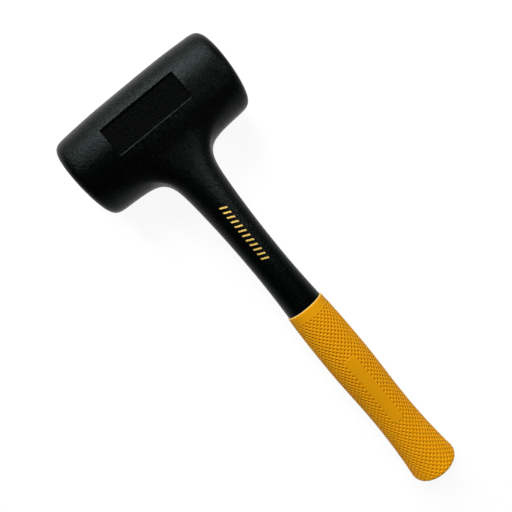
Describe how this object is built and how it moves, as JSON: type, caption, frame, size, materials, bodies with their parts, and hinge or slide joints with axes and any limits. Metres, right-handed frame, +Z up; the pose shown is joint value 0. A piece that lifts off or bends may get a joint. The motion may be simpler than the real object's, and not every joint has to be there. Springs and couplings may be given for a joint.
{
  "type": "dead blow hammer",
  "caption": "Dead blow hammer: black urethane barrel head and neck moulded over a steel canister of loose shot and a steel core, with a yellow textured grip sleeve.",
  "frame": {"origin": "on the surface the hammer lies on, under the middle of its bounding box", "axes": "+X along the head's axis to the right striking face, +Y from the butt towards the head, +Z up out of the flank with the label recess"},
  "size_m": [0.126, 0.346, 0.0633],
  "materials": {
    "black_urethane": "satin, finely grained moulding",
    "yellow_rubber": "matte, diamond textured",
    "canister_steel": "drawn tube",
    "core_steel": "rolled bar",
    "shot_steel": "polished"
  },
  "bodies": {
    "hammer": {"casing": "black_urethane", "grip_sleeve": "yellow_rubber", "canister_tube": "canister_steel", "canister_cap_left": "canister_steel", "canister_cap_right": "canister_steel", "handle_core": "core_steel", "core_collar": "core_steel"},
    "shot_row_centre": {"shot_centre_1": "shot_steel", "shot_centre_2": "shot_steel", "shot_centre_3": "shot_steel", "shot_centre_4": "shot_steel", "shot_centre_5": "shot_steel", "shot_centre_6": "shot_steel", "shot_centre_7": "shot_steel"},
    "shot_row_1": {"shot_1_1": "shot_steel", "shot_1_2": "shot_steel", "shot_1_3": "shot_steel", "shot_1_4": "shot_steel", "shot_1_5": "shot_steel", "shot_1_6": "shot_steel", "shot_1_7": "shot_steel"},
    "shot_row_2": {"shot_2_1": "shot_steel", "shot_2_2": "shot_steel", "shot_2_3": "shot_steel", "shot_2_4": "shot_steel", "shot_2_5": "shot_steel", "shot_2_6": "shot_steel", "shot_2_7": "shot_steel"},
    "shot_row_3": {"shot_3_1": "shot_steel", "shot_3_2": "shot_steel", "shot_3_3": "shot_steel", "shot_3_4": "shot_steel", "shot_3_5": "shot_steel", "shot_3_6": "shot_steel", "shot_3_7": "shot_steel"},
    "shot_row_4": {"shot_4_1": "shot_steel", "shot_4_2": "shot_steel", "shot_4_3": "shot_steel", "shot_4_4": "shot_steel", "shot_4_5": "shot_steel", "shot_4_6": "shot_steel", "shot_4_7": "shot_steel"},
    "shot_row_5": {"shot_5_1": "shot_steel", "shot_5_2": "shot_steel", "shot_5_3": "shot_steel", "shot_5_4": "shot_steel", "shot_5_5": "shot_steel", "shot_5_6": "shot_steel", "shot_5_7": "shot_steel"},
    "shot_row_6": {"shot_6_1": "shot_steel", "shot_6_2": "shot_steel", "shot_6_3": "shot_steel", "shot_6_4": "shot_steel", "shot_6_5": "shot_steel", "shot_6_6": "shot_steel", "shot_6_7": "shot_steel"}
  },
  "joints": [
    {"name": "shot_row_centre_slide", "type": "slide", "parent": "hammer", "child": "shot_row_centre", "axis": [1, 0, 0], "range_m": [-0.006, 0.006]},
    {"name": "shot_row_1_slide", "type": "slide", "parent": "hammer", "child": "shot_row_1", "axis": [1, 0, 0], "range_m": [-0.006, 0.006]},
    {"name": "shot_row_2_slide", "type": "slide", "parent": "hammer", "child": "shot_row_2", "axis": [1, 0, 0], "range_m": [-0.006, 0.006]},
    {"name": "shot_row_3_slide", "type": "slide", "parent": "hammer", "child": "shot_row_3", "axis": [1, 0, 0], "range_m": [-0.006, 0.006]},
    {"name": "shot_row_4_slide", "type": "slide", "parent": "hammer", "child": "shot_row_4", "axis": [1, 0, 0], "range_m": [-0.006, 0.006]},
    {"name": "shot_row_5_slide", "type": "slide", "parent": "hammer", "child": "shot_row_5", "axis": [1, 0, 0], "range_m": [-0.006, 0.006]},
    {"name": "shot_row_6_slide", "type": "slide", "parent": "hammer", "child": "shot_row_6", "axis": [1, 0, 0], "range_m": [-0.006, 0.006]}
  ]
}
